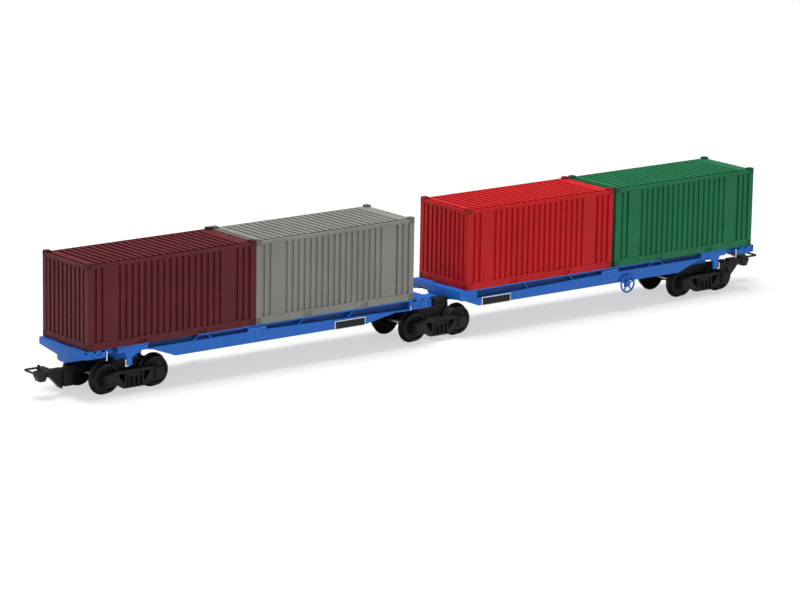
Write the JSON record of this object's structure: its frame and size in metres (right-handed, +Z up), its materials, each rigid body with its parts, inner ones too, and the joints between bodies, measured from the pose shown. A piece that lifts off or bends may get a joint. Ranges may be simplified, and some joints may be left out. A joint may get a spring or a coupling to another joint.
{
  "type": "articulated model container flatcar",
  "caption": "Scale model of an articulated container flatcar: two blue underframes share a middle bogie and carry ribbed box containers in four colours.",
  "frame": {"origin": "on the centre line, halfway between the tips of the coupler loops, at the lowest point of the wheel flanges", "axes": "+X along the wagon towards unit B's outer end, +Y to the left of that direction, +Z up"},
  "size_m": [0.3328, 0.0302, 0.0479],
  "materials": {
    "underframe_blue": "satin moulded plastic",
    "sign_black": "printed black with a pale edge",
    "container_maroon": "matt moulded plastic",
    "container_grey": "matt moulded plastic",
    "container_red": "matt moulded plastic",
    "container_green": "matt moulded plastic",
    "bogie_black": "matt moulded plastic",
    "wheel_black": "satin moulded plastic",
    "coupler_black": "matt moulded plastic",
    "steel": "turned steel"
  },
  "bodies": {
    "deck_a": {"spine_a": "underframe_blue", "side_sills_a": "underframe_blue", "crossbearers_a": "underframe_blue", "outer_end_sill_a": "underframe_blue", "inner_end_sill_a": "underframe_blue", "number_plates_a": "underframe_blue", "signs_a": "sign_black", "handwheel_a": "underframe_blue", "container_1_shell": "container_maroon", "container_1_floor": "container_maroon", "container_2_shell": "container_grey", "container_2_floor": "container_grey", "kingpin_1": "steel", "kingpin_2": "steel"},
    "deck_b": {"spine_b": "underframe_blue", "side_sills_b": "underframe_blue", "crossbearers_b": "underframe_blue", "outer_end_sill_b": "underframe_blue", "inner_end_sill_b": "underframe_blue", "number_plates_b": "underframe_blue", "signs_b": "sign_black", "handwheel_b": "underframe_blue", "saddle_b": "bogie_black", "container_3_shell": "container_red", "container_3_floor": "container_red", "container_4_shell": "container_green", "container_4_floor": "container_green", "kingpin_3": "steel"},
    "bogie_1": {"bolster_1": "bogie_black", "sideframes_1": "bogie_black", "coupler_hook_1": "coupler_black", "coupler_loop_1": "coupler_black"},
    "bogie_2": {"bolster_2": "bogie_black", "sideframes_2": "bogie_black"},
    "bogie_3": {"bolster_3": "bogie_black", "sideframes_3": "bogie_black", "coupler_hook_2": "coupler_black", "coupler_loop_2": "coupler_black"},
    "wheelset_1": {"wheels_1": "wheel_black", "axle_1": "steel"},
    "wheelset_2": {"wheels_2": "wheel_black", "axle_2": "steel"},
    "wheelset_3": {"wheels_3": "wheel_black", "axle_3": "steel"},
    "wheelset_4": {"wheels_4": "wheel_black", "axle_4": "steel"},
    "wheelset_5": {"wheels_5": "wheel_black", "axle_5": "steel"},
    "wheelset_6": {"wheels_6": "wheel_black", "axle_6": "steel"}
  },
  "joints": [
    {"name": "articulation", "type": "hinge", "parent": "deck_a", "child": "deck_b", "pos_m": [0.002, 0, 0.0136], "axis": [0, 0, 1], "range_deg": [-20, 20]},
    {"name": "bogie_1_swivel", "type": "hinge", "parent": "deck_a", "child": "bogie_1", "pos_m": [-0.1312, 0, 0.0136], "axis": [0, 0, 1], "range_deg": [-15, 15]},
    {"name": "bogie_2_swivel", "type": "hinge", "parent": "deck_a", "child": "bogie_2", "pos_m": [0.002, 0, 0.0136], "axis": [0, 0, 1], "range_deg": [-15, 15]},
    {"name": "bogie_3_swivel", "type": "hinge", "parent": "deck_b", "child": "bogie_3", "pos_m": [0.1312, 0, 0.0136], "axis": [0, 0, 1], "range_deg": [-15, 15]},
    {"name": "wheelset_1_spin", "type": "hinge", "parent": "bogie_1", "child": "wheelset_1", "pos_m": [-0.1412, 0, 0.00605], "axis": [0, 1, 0], "continuous": true},
    {"name": "wheelset_2_spin", "type": "hinge", "parent": "bogie_1", "child": "wheelset_2", "pos_m": [-0.1212, 0, 0.00605], "axis": [0, 1, 0], "continuous": true},
    {"name": "wheelset_3_spin", "type": "hinge", "parent": "bogie_2", "child": "wheelset_3", "pos_m": [-0.008, 0, 0.00605], "axis": [0, 1, 0], "continuous": true},
    {"name": "wheelset_4_spin", "type": "hinge", "parent": "bogie_2", "child": "wheelset_4", "pos_m": [0.012, 0, 0.00605], "axis": [0, 1, 0], "continuous": true},
    {"name": "wheelset_5_spin", "type": "hinge", "parent": "bogie_3", "child": "wheelset_5", "pos_m": [0.1212, 0, 0.00605], "axis": [0, 1, 0], "continuous": true},
    {"name": "wheelset_6_spin", "type": "hinge", "parent": "bogie_3", "child": "wheelset_6", "pos_m": [0.1412, 0, 0.00605], "axis": [0, 1, 0], "continuous": true}
  ]
}
